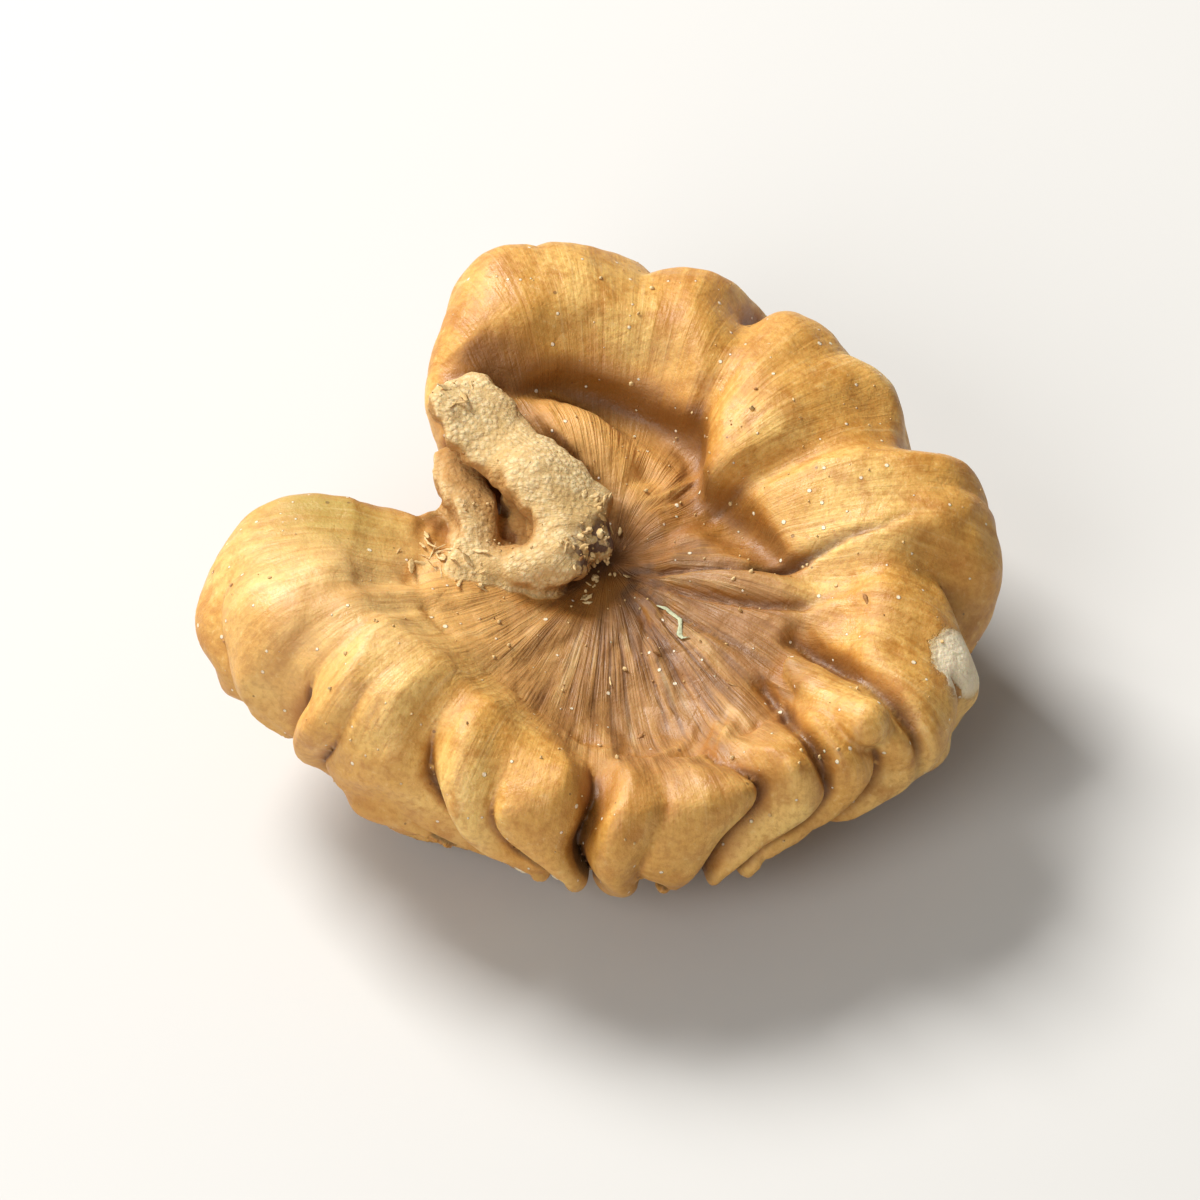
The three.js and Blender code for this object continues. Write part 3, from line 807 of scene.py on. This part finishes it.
@dataclass(frozen=True)
class SkinFinish:
    """Waxy golden-brown skin, torn flesh, and rubbed patches, on one kernel, with painted shade in its
    creases and painted light on the fold beside the root.
    """

    pale: Rgb = (0.84, 0.545, 0.165)
    gold: Rgb = (0.69, 0.365, 0.078)
    # Pale tone of the skin; also laid as painted highlight along the web's broad folds.
    pale_tone_and_highlight: Rgb = (0.88, 0.66, 0.31)
    amber: Rgb = (0.43, 0.160, 0.014)
    # Painted shade colour for creases and slopes that face the hub.
    painted_shade: Rgb = (0.245, 0.085, 0.008)
    # Painted shadow colour, deepest in the creases of the inner face.
    dark: Rgb = (0.060, 0.020, 0.006)
    web: Rgb = (0.34, 0.150, 0.042)
    web_pale: Rgb = (0.52, 0.265, 0.078)
    # Painted shade colour round the hub.
    web_painted_shade: Rgb = (0.20, 0.080, 0.024)
    line: Rgb = (0.11, 0.040, 0.012)
    olive: Rgb = (0.44, 0.33, 0.075)
    plum: Rgb = (0.10, 0.045, 0.035)
    # Orange-brown of the fold beside the root, brightened as painted light; also laid on the web's left
    # side.
    ridge_tone_and_light: Rgb = (0.84, 0.46, 0.135)
    # Painted shade colour for the hollows of bare flesh.
    flesh_painted_shade: Rgb = (0.42, 0.20, 0.045)
    white: Rgb = (0.97, 0.88, 0.67)
    roughness: float = 0.47
    back_tone: float = 0.55

    def _radial(self, w: Wiring, place: Socket, lines: float, drift: float) -> Socket:
        """Streaks out from the hub: noise on the unit circle of the bearing, slow outwards."""
        x, y, _ = w.add("SeparateXYZ", {0: place}).outputs
        bearing = w.maths("ARCTAN2", y, x)
        flat = w.add("CombineXYZ", {0: x, 1: y}).outputs[0]
        reach = w.add("VectorMath", {0: flat}, operation="LENGTH").outputs["Value"]
        wave = w.add("CombineXYZ", {0: w.times(w.maths("COSINE", bearing), lines),
                                    1: w.times(w.maths("SINE", bearing), lines), 2: w.times(reach, drift)})
        return w.noise(wave.outputs[0], 1.0, 3.0, 0.6)

    def material(self, effects: Effects) -> bpy.types.Material:
        """Builds the material.

        Args:
            effects: the shared groups.

        Returns:
            The material, for the kernel's own marks.
        """
        mat, w, shader = new_material("walnut_skin")
        place, painted_shade, crest, fan, line, torn, rubbed = (w.mark(mark) for mark in (
            Mark.PLACE, Mark.PAINTED_SHADE, Mark.CREST, Mark.FAN, Mark.LINE, Mark.TORN, Mark.RUBBED))
        height = w.add("SeparateXYZ", {0: place}).outputs[2]
        face = w.band(height, -4.5, -1.5)

        def spot(at: Triple, reach: float, most: float = 1.0) -> Socket:
            """The most at a point of the kernel, easing to 0 at the reach."""
            gap = w.add("VectorMath", {0: place, 1: at}, operation="DISTANCE").outputs["Value"]
            return w.band(gap, reach, 0.0, 0.0, most)

        # Skin: slow patches of pale and amber, mottled finely, browner on the back and olive by the
        # notch, with streaks that cross the rim from the hub and thin darker veins.
        mottle, fine = w.noise(place, 0.75, 4.0, 0.62, 0.4), w.noise(place, 3.6, 3.0, 0.6)
        streak, hair = self._radial(w, place, 15.0, 0.10), self._radial(w, place, 46.0, 0.22)
        bent = w.add("TexNoise", {"Vector": place, "Scale": 0.45}).outputs["Color"]
        drift = w.add("VectorMath", {0: place, 1: bent}, operation="ADD").outputs[0]
        veins = w.cells(drift, 0.34, "DISTANCE_TO_EDGE").outputs["Distance"]
        vein = w.times(w.band(veins, 0.030, 0.0), w.band(mottle, 0.46, 0.66))
        skin = w.coat(
            self.gold, (w.band(w.noise(place, 0.16, 2.0, 0.5, 0.3), 0.42, 0.66), self.pale),
            (w.band(mottle, 0.54, 0.30, 0.0, 0.65), self.amber),
            (w.band(fine, 0.56, 0.32, 0.0, 0.42), self.amber),
            (w.band(fine, 0.58, 0.74, 0.0, 0.35), self.pale_tone_and_highlight),
            (w.band(height, -3.5, -8.0, 0.0, self.back_tone), self.amber),
            (spot((-10.5, -4.5, -1.5), 8.0, 0.45), self.pale_tone_and_highlight),
            (spot((-11.8, 1.0, -1.6), 5.0, 0.8), self.olive),
            (w.times(w.band(streak, 0.54, 0.34), face, 0.42), self.amber),
            (w.times(w.band(hair, 0.50, 0.32), face, 0.36), self.amber),
            (w.times(w.band(hair, 0.56, 0.72), face, 0.22), self.pale_tone_and_highlight), (w.times(vein, 0.10), self.amber))

        # Web: pinkish brown, with fine dark lines that fan out from the hub, and painted shade round the hub
        # and on its right side.
        lines, fat_lines = self._radial(w, place, 34.0, 0.16), self._radial(w, place, 11.0, 0.22)
        near_hub = w.maths("MAXIMUM", spot((1.5, -5.5, -4.0), 9.0), 0.35)
        web = w.coat(
            self.web, (w.band(fat_lines, 0.40, 0.62), self.web_pale),
            (spot((-8.0, -4.0, -3.0), 7.5, 0.85), self.ridge_tone_and_light),
            # Painted shade round the hub.
            (spot((1.5, -4.0, -4.0), 8.5, 0.55), self.web_painted_shade),
            (w.times(w.band(lines, 0.50, 0.36), near_hub, 0.85), self.line),
            (w.band(lines, 0.54, 0.68, 0.0, 0.55), self.web_pale),
            # Painted highlight along the broad folds of the web.
            (w.band(fat_lines, 0.56, 0.70, 0.0, 0.25), self.pale_tone_and_highlight),
            # Painted shade: the web's right side kept darker, and the hub's centre darkened.
            (spot((8.6, -2.2, -3.0), 6.0, 0.55), self.web), (spot((0.8, -1.0, -4.0), 5.0, 0.85), self.line))

        # Painted shade darkens the creases and the slopes that face the hub, and crests pale a little; pale
        # crumbs and dark pinpricks lie over both.
        # Painted light: the fold beside the root kept bright and orange-brown where it lies in shade.
        painted_light_fold = spot((-0.4, 5.0, -2.6), 5.2, 0.85)
        # Painted shadow: darkest deep in the creases of the inner face.
        deep = w.times(w.band(painted_shade, 0.60, 0.92, 0.0, 0.85), w.band(height, -2.0, -5.5, 0.25, 1.0))
        pale_specks = w.group(effects.specks, Place=place, Scale=1.9, Size=0.17, Share=0.34)[0]
        dark_specks = w.group(effects.specks, Place=place, Scale=1.1, Size=0.10, Share=0.20)[0]
        skin = w.coat(
            skin, (w.times(fan, w.maths("SUBTRACT", 0.92, painted_light_fold)), web),
            # Painted shade: amber, then dark brown, where the shade mask is high.
            (w.band(painted_shade, 0.20, 0.48, 0.0, 0.55), self.amber),
            (w.band(painted_shade, 0.36, 0.72, 0.0, 0.75), self.painted_shade), (deep, self.dark),
            # Painted light on the fold beside the root.
            (w.times(painted_light_fold, w.band(painted_shade, 0.95, 0.55, 0.0, 0.9)), self.ridge_tone_and_light),
            (w.band(crest, 0.25, 0.8, 0.0, 0.28), self.pale), (w.times(line, 0.7), self.line),
            (w.times(dark_specks, 0.6), self.line), (w.times(pale_specks, 0.8), self.white))

        # Bare flesh: the torn root, and where the skin is rubbed through, with painted shade in its hollows.
        grain = w.group(effects.flesh, Place=place, Grain=4.2)
        tears = w.maths("SUBTRACT", w.noise(place, 1.3, 5.0, 0.72), 0.5)
        ragged = w.total(rubbed, w.times(tears, 1.3))
        bare = w.maths("MAXIMUM", w.band(ragged, 0.46, 0.54), w.band(torn, 0.35, 0.65))
        plum = w.times(w.band(spot((-0.6, -0.9, -2.9), 2.9), 0.15, 0.5),
                       w.band(w.noise(place, 2.2, 3.0), 0.44, 0.53), 0.9)
        flesh = w.coat(grain["Colour"], (w.band(painted_shade, 0.24, 0.68, 0.0, 0.85), self.flesh_painted_shade),
                       (w.band(rubbed, 0.3, 0.8, 0.0, 0.65), self.white), (plum, self.plum))
        w.feed(shader["Base Color"], w.coat(skin, (bare, flesh)))

        # Satin skin, dull flesh.
        sheen = w.band(w.noise(place, 0.9, 4.0, 0.6), 0.3, 0.7, self.roughness - 0.09, self.roughness + 0.13)
        dull = w.add("Mix", {0: bare, 2: w.total(sheen, w.times(fan, 0.05)), 3: 0.86}, data_type="FLOAT")
        w.feed(shader["Roughness"], dull.outputs[0])

        # Relief: fine pores, crinkles across the rim, fan lines, and granules on bare flesh.
        uneven = w.band(w.noise(place, 0.55, 2.0), 0.38, 0.60, 0.25, 1.0)
        relief = w.total(
            w.times(w.noise(place, 5.0, 4.0, 0.65), 0.30), w.times(w.noise(place, 1.5, 3.0, 0.6, 0.2), 0.34),
            w.times(streak, face, 0.40), w.times(hair, face, 0.35), w.times(lines, fan, uneven, 1.2),
            w.times(fat_lines, fan, 0.9), w.times(vein, -0.08), w.times(pale_specks, 0.5),
            w.times(bare, w.band(rubbed, 0.1, 0.8, 0.7, 0.3), grain["Height"]),
            w.band(ragged, 0.40, 0.54, 0.0, -0.5))
        w.feed(shader["Normal"], w.bump(relief, 0.16, 0.85))

        for key, value in (("Specular IOR Level", 0.55), ("Subsurface Weight", 0.14),
                           ("Subsurface Radius", (1.0, 0.42, 0.14)), ("Subsurface Scale", 1.1 * MM)):
            shader[key].default_value = value
        return mat


@dataclass(frozen=True)
class CrumbFinish:
    """Loose granules and shreds: flesh, skin and a little green shell, by each one's tone."""

    skin: Rgb = (0.40, 0.19, 0.06)
    green: Rgb = (0.52, 0.55, 0.36)
    roughness: float = 0.8

    def material(self, effects: Effects) -> bpy.types.Material:
        """Builds the material from the shared flesh grain, tinted by tone."""
        mat, w, shader = new_material("walnut_crumb")
        place, tone = w.mark(Mark.PLACE), w.mark(Mark.TONE)
        grain = w.group(effects.flesh, Place=place, Grain=5.0)
        w.feed(shader["Base Color"], w.coat(grain["Colour"], (w.band(tone, 0.62, 0.72), self.skin),
                                            (w.band(tone, 0.94, 0.96), self.green)))
        w.feed(shader["Roughness"], w.band(w.noise(place, 4.0), 0.2, 0.8, self.roughness - 0.15, 0.95))
        w.feed(shader["Normal"], w.bump(grain["Height"], 0.05))
        return mat


# --- Sub-assemblies ---


@dataclass
class Kernel:
    """The kernel half itself."""

    shape: KernelShape = field(default_factory=KernelShape)
    net: SurfaceNet = field(default_factory=SurfaceNet)
    place: RestingPlace = field(default_factory=RestingPlace)
    rubbed_spots: tuple[tuple[Triple, float], ...] = (
        ((14.9, -6.1, -1.3), 2.35), ((13.0, -9.0, -4.0), 1.1), ((6.5, -3.4, -12.4), 3.2),
        ((-7.0, 5.5, -11.5), 2.4), ((3.0, 9.5, -11.6), 2.2), ((-9.5, -8.5, -8.2), 2.0),
        ((12.8, 3.2, -7.4), 1.6), ((-2.0, -12.8, -8.8), 2.4),
    )
    # Ways out from the skin over which the painted shade is measured, in millimetres.
    painted_shade_ways: Triple = (0.5, 1.3, 2.8)
    crest_ways: tuple[float, float] = (0.7, 1.6)
    line_width: float = 0.19
    verts: Array = field(default_factory=lambda: np.zeros((0, 3)))
    normals: Array = field(default_factory=lambda: np.zeros((0, 3)))
    move: Array = field(default_factory=lambda: np.zeros(3))

    def build(self, box: tuple[Vector, Vector]) -> bpy.types.Object:
        """Makes the mesh and its marks.

        Args:
            box: lowest and highest corners of the CAD model, in metres.

        Returns:
            The kernel's object.
        """
        self.verts, quads = self.net.wrap(self.shape.distance)
        self.normals = unit(self.net.slope(self.verts, self.shape.distance))
        self.move = self.place.shift(self.verts, np.array(box[0]), np.array(box[1]))
        obj = quad_mesh("walnut_kernel", self.place.put(self.verts, self.move), quads)
        self._marks(obj)
        return obj

    def _room(self, ways: tuple[float, ...], sign: float) -> Array:
        """1 less the distance reached over the way gone outwards (+) or inwards (-), averaged."""
        v, n = self.verts, self.normals
        return sum(1.0 - np.clip(sign * self.shape.distance(*(v + sign * n * s).T) / s, 0.0, 1.0)
                   for s in ways) / len(ways)

    def _marks(self, obj: bpy.types.Object) -> None:
        """Stores what the finish reads.

        Painted shade is how little room there is outside a point, and more on slopes that face the hub
        and along the furrow: it marks where shade falls. Crest is how little kernel there is inside it.

        Args:
            obj: the kernel's object.
        """
        n, shape = self.normals, self.shape
        x, y, z = self.verts.T
        bx, by, bz = shape.bend(x, y, z)
        fan = shape.fan_at(bx, by, bz)
        inward = np.maximum(-(n[:, 0] * x + n[:, 1] * y) / np.maximum(np.hypot(x, y), 0.5), 0.0)
        # Painted shade on slopes that face the hub and along the furrow.
        painted_slope_shade = 0.34 * inward * (1.0 - 0.6 * fan) + 0.24 * shape.furrow_at(bx, by)
        painted_shade = np.clip(self._room(self.painted_shade_ways, 1.0) + painted_slope_shade * ramp(-6.0, -3.0, z), 0.0, 1.0)
        torn = ramp(0.45, -0.05, shape.root.distance(x, y, z))
        torn *= 1.0 - ramp(0.05, -0.25, shape.skin_distance(x, y, z))
        rubbed = np.zeros(len(x))
        for (cx, cy, cz), reach in self.rubbed_spots:
            gap = np.sqrt((x - cx) ** 2 + (y - cy) ** 2 + (z - cz) ** 2)
            rubbed = np.maximum(rubbed, ramp(reach * 1.25, reach * 0.35, gap))
        line = np.maximum.reduce([g.strength_at(bx, by, self.line_width)
                                  for g in shape.grooves if g.width < 0.5])
        marks = {Mark.PLACE: self.verts, Mark.PAINTED_SHADE: painted_shade, Mark.CREST: self._room(self.crest_ways, -1.0),
                 Mark.LINE: line * (1.0 - torn) * ramp(-5.5, -4.5, z), Mark.FAN: fan * (1.0 - torn),
                 Mark.TORN: torn, Mark.RUBBED: rubbed * (1.0 - ramp(0.25, 0.6, painted_shade))}
        for mark, values in marks.items():
            set_mark(obj, mark, values)

    def dress(self, obj: bpy.types.Object, effects: Effects) -> None:
        """Gives the kernel its skin."""
        obj.data.materials.append(SkinFinish().material(effects))


@dataclass
class Bits:
    """Small loose pieces on the kernel, made as one mesh."""

    kernel: Kernel

    def mesh(self, name: str, points: Array, tones: Array) -> bpy.types.Object:
        """Joins the pieces.

        Each piece is a grid of rings with six vertices, closed by two quads over each end.

        Args:
            name: name of the object.
            points: vertices in the face frame, as piece by ring by vertex by xyz.
            tones: one tone for each piece.

        Returns:
            The pieces' object.
        """
        count, rings, sides = points.shape[:3]
        r, c = np.meshgrid(np.arange(rings - 1), np.arange(sides), indexing="ij")
        a, b = r * sides + c, r * sides + (c + 1) % sides
        caps = np.array([[0, 1, 2, 3], [0, 3, 4, 5]])
        quads = np.concatenate([np.stack([a, a + sides, b + sides, b], -1).reshape(-1, 4), caps,
                                (rings - 1) * sides + caps[:, ::-1]])
        every = (quads[None] + (np.arange(count) * rings * sides)[:, None, None]).reshape(-1, 4)
        flat = points.reshape(-1, 3)
        obj = quad_mesh(name, self.kernel.place.put(flat, self.kernel.move), every)
        set_mark(obj, Mark.PLACE, flat)
        set_mark(obj, Mark.TONE, np.repeat(tones, rings * sides))
        return obj


@dataclass
class Crumbs(Bits):
    """Loose granules on the skin."""

    count: int = 300
    smallest: float = 0.03
    largest: float = 0.11
    darkest: float = 0.78
    rings: int = 5
    seed: int = 7

    def build(self) -> bpy.types.Object:
        """Makes all granules.

        A granule is a grid of latitude and longitude on a ball, closed at the poles by rings
        shrunk to a point's width, with each vertex moved out or in at random and the whole
        squashed along its normal. It stands on a vertex of the skin, sunk by a third. Granules
        are thickest near the hub and at the root's torn end.

        Returns:
            The granules' object.
        """
        rng = np.random.default_rng(self.seed)
        v, n = self.kernel.verts, self.kernel.normals
        rho = np.hypot(v[:, 0], v[:, 1])
        weight = np.where(n[:, 2] > 0.25, 1.0, 0.08) * (0.5 + 1.6 * np.exp(-((rho - 4.0) / 4.0) ** 2))
        torn_end = np.exp(-((v[:, 0] + 0.9) ** 2 + (v[:, 1] + 0.7) ** 2) / 0.9**2)
        weight += 40.0 * torn_end * (v[:, 2] > -4.5)
        at = rng.choice(len(v), self.count, replace=False, p=weight / weight.sum())
        size = self.smallest + (self.largest - self.smallest) * rng.random(self.count) ** 2.2
        size = (size * (1.0 + 0.9 * torn_end[at]))[:, None, None]
        lat = np.linspace(0.02, math.pi - 0.02, self.rings)[:, None]
        lon = np.linspace(0.0, 2.0 * math.pi, 6, endpoint=False)[None, :]
        ball = np.stack([np.sin(lat) * np.cos(lon), np.sin(lat) * np.sin(lon),
                         np.cos(lat) + 0.0 * lon], -1).reshape(-1, 3)
        lumps = ball[None] * (0.75 + 0.5 * rng.random((self.count, len(ball), 1)))
        lumps *= (0.6 + 0.8 * rng.random((self.count, 1, 3))) * size
        up = n[at]
        side = unit(np.cross(up, rng.normal(size=(self.count, 3))))
        axes = np.stack([side, np.cross(up, side), up], 1)
        points = np.einsum("cvk,ckj->cvj", lumps, axes) + (v[at] + up * size[:, 0] * 0.35)[:, None]
        return self.mesh("walnut_crumbs", points.reshape(self.count, self.rings, 6, 3),
                         rng.random(self.count) * self.darkest)


@dataclass(frozen=True)
class ShredPatch:
    """Where a few shreds lie: middle, spread and count, their length, and their tones."""

    middle: tuple[float, float]
    spread: float
    count: int
    length: float
    tones: tuple[float, float]


@dataclass
class Shreds(Bits):
    """Slivers of torn flesh and skin, and one fibre of green shell."""

    patches: tuple[ShredPatch, ...] = (
        ShredPatch((-7.6, -0.8), 0.6, 14, 0.9, (0.0, 0.66)),
        ShredPatch((-6.0, -1.9), 0.7, 8, 0.7, (0.0, 0.66)),
        ShredPatch((-1.2, -1.7), 0.5, 14, 0.5, (0.2, 0.9)),
        ShredPatch((-0.3, 0.4), 0.6, 14, 0.55, (0.1, 0.8)),
        ShredPatch((-6.6, 5.6), 0.5, 6, 0.7, (0.0, 0.5)),
        ShredPatch((3.0, -4.0), 3.5, 6, 0.5, (0.5, 0.9)),
    )
    fibre: tuple[tuple[float, float], tuple[float, float]] = ((2.0, -2.5), (3.5, -4.6))
    fibre_reach: float = 1.0
    fibre_tone: float = 0.99
    stations: int = 8
    seed: int = 11

    def _ground(self, xy: Array) -> tuple[Array, Array]:
        """Nearest upward-facing skin point below each place, and its normal."""
        top = self.kernel.normals[:, 2] > 0.15
        v, n = self.kernel.verts[top], self.kernel.normals[top]
        nearest = np.array([np.argmin(((v[:, :2] - q) ** 2).sum(1) - 0.01 * v[:, 2]) for q in xy])
        return v[nearest], n[nearest]

    def _tube(self, path: Array, up: Array, wide: Array, thick: Array) -> Array:
        """A flat rounded section swept along each path.

        Args:
            path: centres, as shred by station by xyz.
            up: unit normal of the skin for each shred.
            wide: half-width at each station.
            thick: half-thickness at each station.

        Returns:
            Points, with each ring at centre + side * wide * cos(a) + up * thick * sin(a).
        """
        side = unit(np.cross(np.gradient(path, axis=1), up[:, None]))
        a = np.linspace(0.0, 2.0 * math.pi, 6, endpoint=False)
        ring = side[:, :, None] * (wide[:, :, None] * np.cos(a))[..., None]
        ring = ring + up[:, None, None] * (thick[:, :, None] * np.sin(a))[..., None]
        return path[:, :, None] + ring

    def build(self) -> bpy.types.Object:
        """Makes all shreds.

        A shred's centre goes straight out from its foot and lifts with the square of the way; its
        width is the sine of the way along it, so both ends close to a point. The fibre's centre
        keeps to the skin.

        Returns:
            The shreds' object.
        """
        rng = np.random.default_rng(self.seed)
        spots = np.concatenate([np.array(p.middle) + rng.normal(size=(p.count, 2)) * p.spread
                                for p in self.patches])
        reach = np.concatenate([p.length * (0.4 + 0.8 * rng.random(p.count)) for p in self.patches])
        tones = np.concatenate([rng.uniform(*p.tones, p.count) for p in self.patches])
        count = len(spots)
        foot, up = self._ground(spots)
        out = rng.normal(size=(count, 3))
        out = unit(out - (out * up).sum(1, keepdims=True) * up)
        s = np.linspace(0.0, 1.0, self.stations)
        lift = 0.05 + rng.random(count) * 0.45
        curl = np.cross(up, out) * rng.normal(size=(count, 1)) * 0.3
        bend = curl + up * lift[:, None]
        path = out[:, None] * (s[None, :, None] - 0.25) + bend[:, None] * (s**2)[None, :, None]
        path = foot[:, None] + path * reach[:, None, None]

        a, b = (np.array(end) for end in self.fibre)
        line = a + (b - a) * s[:, None] + np.stack([0.25 * np.sin(5.0 * s), 0.2 * np.sin(7.0 * s)], 1)
        ground, tilt = self._ground(line)
        path = np.concatenate([path, (ground + tilt * 0.06)[None]])
        up = np.concatenate([up, tilt.mean(0, keepdims=True)])
        reach, tones = np.append(reach, self.fibre_reach), np.append(tones, self.fibre_tone)

        swelling = np.maximum(np.sin(math.pi * np.linspace(0.02, 0.98, self.stations)), 0.02) ** 0.7
        uneven = 0.5 + 1.0 * rng.random((len(path), self.stations))
        wide = swelling * uneven * ((0.03 + 0.07 * reach) * rng.uniform(0.4, 1.9, len(path)))[:, None]
        thick = swelling * (0.03 + 0.02 * rng.random((len(path), 1)))
        return self.mesh("walnut_shreds", self._tube(path, up, wide, thick), tones)


@dataclass
class Studio:
    """Plain floor, soft lights and the camera."""

    floor_colour: Rgb = (0.64, 0.635, 0.62)
    floor_size: float = 2.4
    elevation: float = 47.0
    distance: float = 0.40
    lens: float = 290.0
    aim: Triple = (0.0, 0.0, 0.0062)

    def floor(self) -> bpy.types.Object:
        """A large pale square sheet at z = 0."""
        s = self.floor_size / 2
        obj = quad_mesh("floor", np.array([[-s, -s, 0], [s, -s, 0], [s, s, 0], [-s, s, 0.0]]),
                        np.array([[0, 1, 2, 3]]))
        mat, _, shader = new_material("floor_paper")
        shader["Base Color"].default_value = (*self.floor_colour, 1.0)
        shader["Roughness"].default_value = 0.75
        obj.data.materials.append(mat)
        obj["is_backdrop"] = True
        return obj

    def _lamp(self, name: str, at: Triple, size: float, power: float, tint: Rgb) -> None:
        """A square soft light aimed at the kernel."""
        light = bpy.data.lights.new(name, "AREA")
        light.size, light.energy, light.color = size, power, tint
        obj = bpy.data.objects.new(name, light)
        bpy.context.collection.objects.link(obj)
        obj.location = at
        obj.rotation_euler = (Vector(self.aim) - Vector(at)).to_track_quat("-Z", "Y").to_euler()

    def lights(self) -> None:
        """A key from above and behind, a weak fill from the front, and even grey air."""
        self._lamp("key", (-0.23, 0.22, 0.35), 0.20, 3.15, (1.0, 0.985, 0.96))
        self._lamp("fill", (-0.22, -0.32, 0.30), 0.26, 1.1, (1.0, 0.99, 0.975))
        world = bpy.data.worlds.new("air")
        world.use_nodes = True
        air = world.node_tree.nodes["Background"].inputs
        air["Color"].default_value, air["Strength"].default_value = (1.0, 0.955, 0.88, 1.0), 0.22
        bpy.context.scene.world = world

    def camera(self) -> None:
        """Looks along +Y and down on the inner face."""
        data = bpy.data.cameras.new("camera")
        data.lens, data.clip_start, data.clip_end = self.lens, 0.01, 10.0
        obj = bpy.data.objects.new("camera", data)
        bpy.context.collection.objects.link(obj)
        e = math.radians(self.elevation)
        away = Vector((0.0, -math.cos(e), math.sin(e)))
        obj.location = Vector(self.aim) + away * self.distance
        obj.rotation_euler = (-away).to_track_quat("-Z", "Y").to_euler()
        bpy.context.scene.camera = obj
        bpy.context.scene.view_settings.view_transform = "Standard"


def main() -> None:
    """Builds the kernel, its crumbs and the studio, in that order."""
    logging.basicConfig(level=logging.INFO, format="%(name)s: %(message)s")
    cad_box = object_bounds()
    effects = Effects(flesh=FleshEffect().build(), specks=SpeckEffect().build())

    kernel = Kernel()
    body = kernel.build(cad_box)
    kernel.dress(body, effects)
    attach(body, "root")
    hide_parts("kernel_half")
    LOG.info("%s: %d quads", body.name, len(body.data.polygons))

    loose = CrumbFinish().material(effects)
    for maker in (Crumbs(kernel), Shreds(kernel)):
        bits = maker.build()
        bits.data.materials.append(loose)
        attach(bits, "root")
        LOG.info("%s: %d quads", bits.name, len(bits.data.polygons))

    studio = Studio()
    studio.floor()
    studio.lights()
    studio.camera()
    LOG.info("studio: floor, lights and camera")


if __name__ == "__main__":
    main()
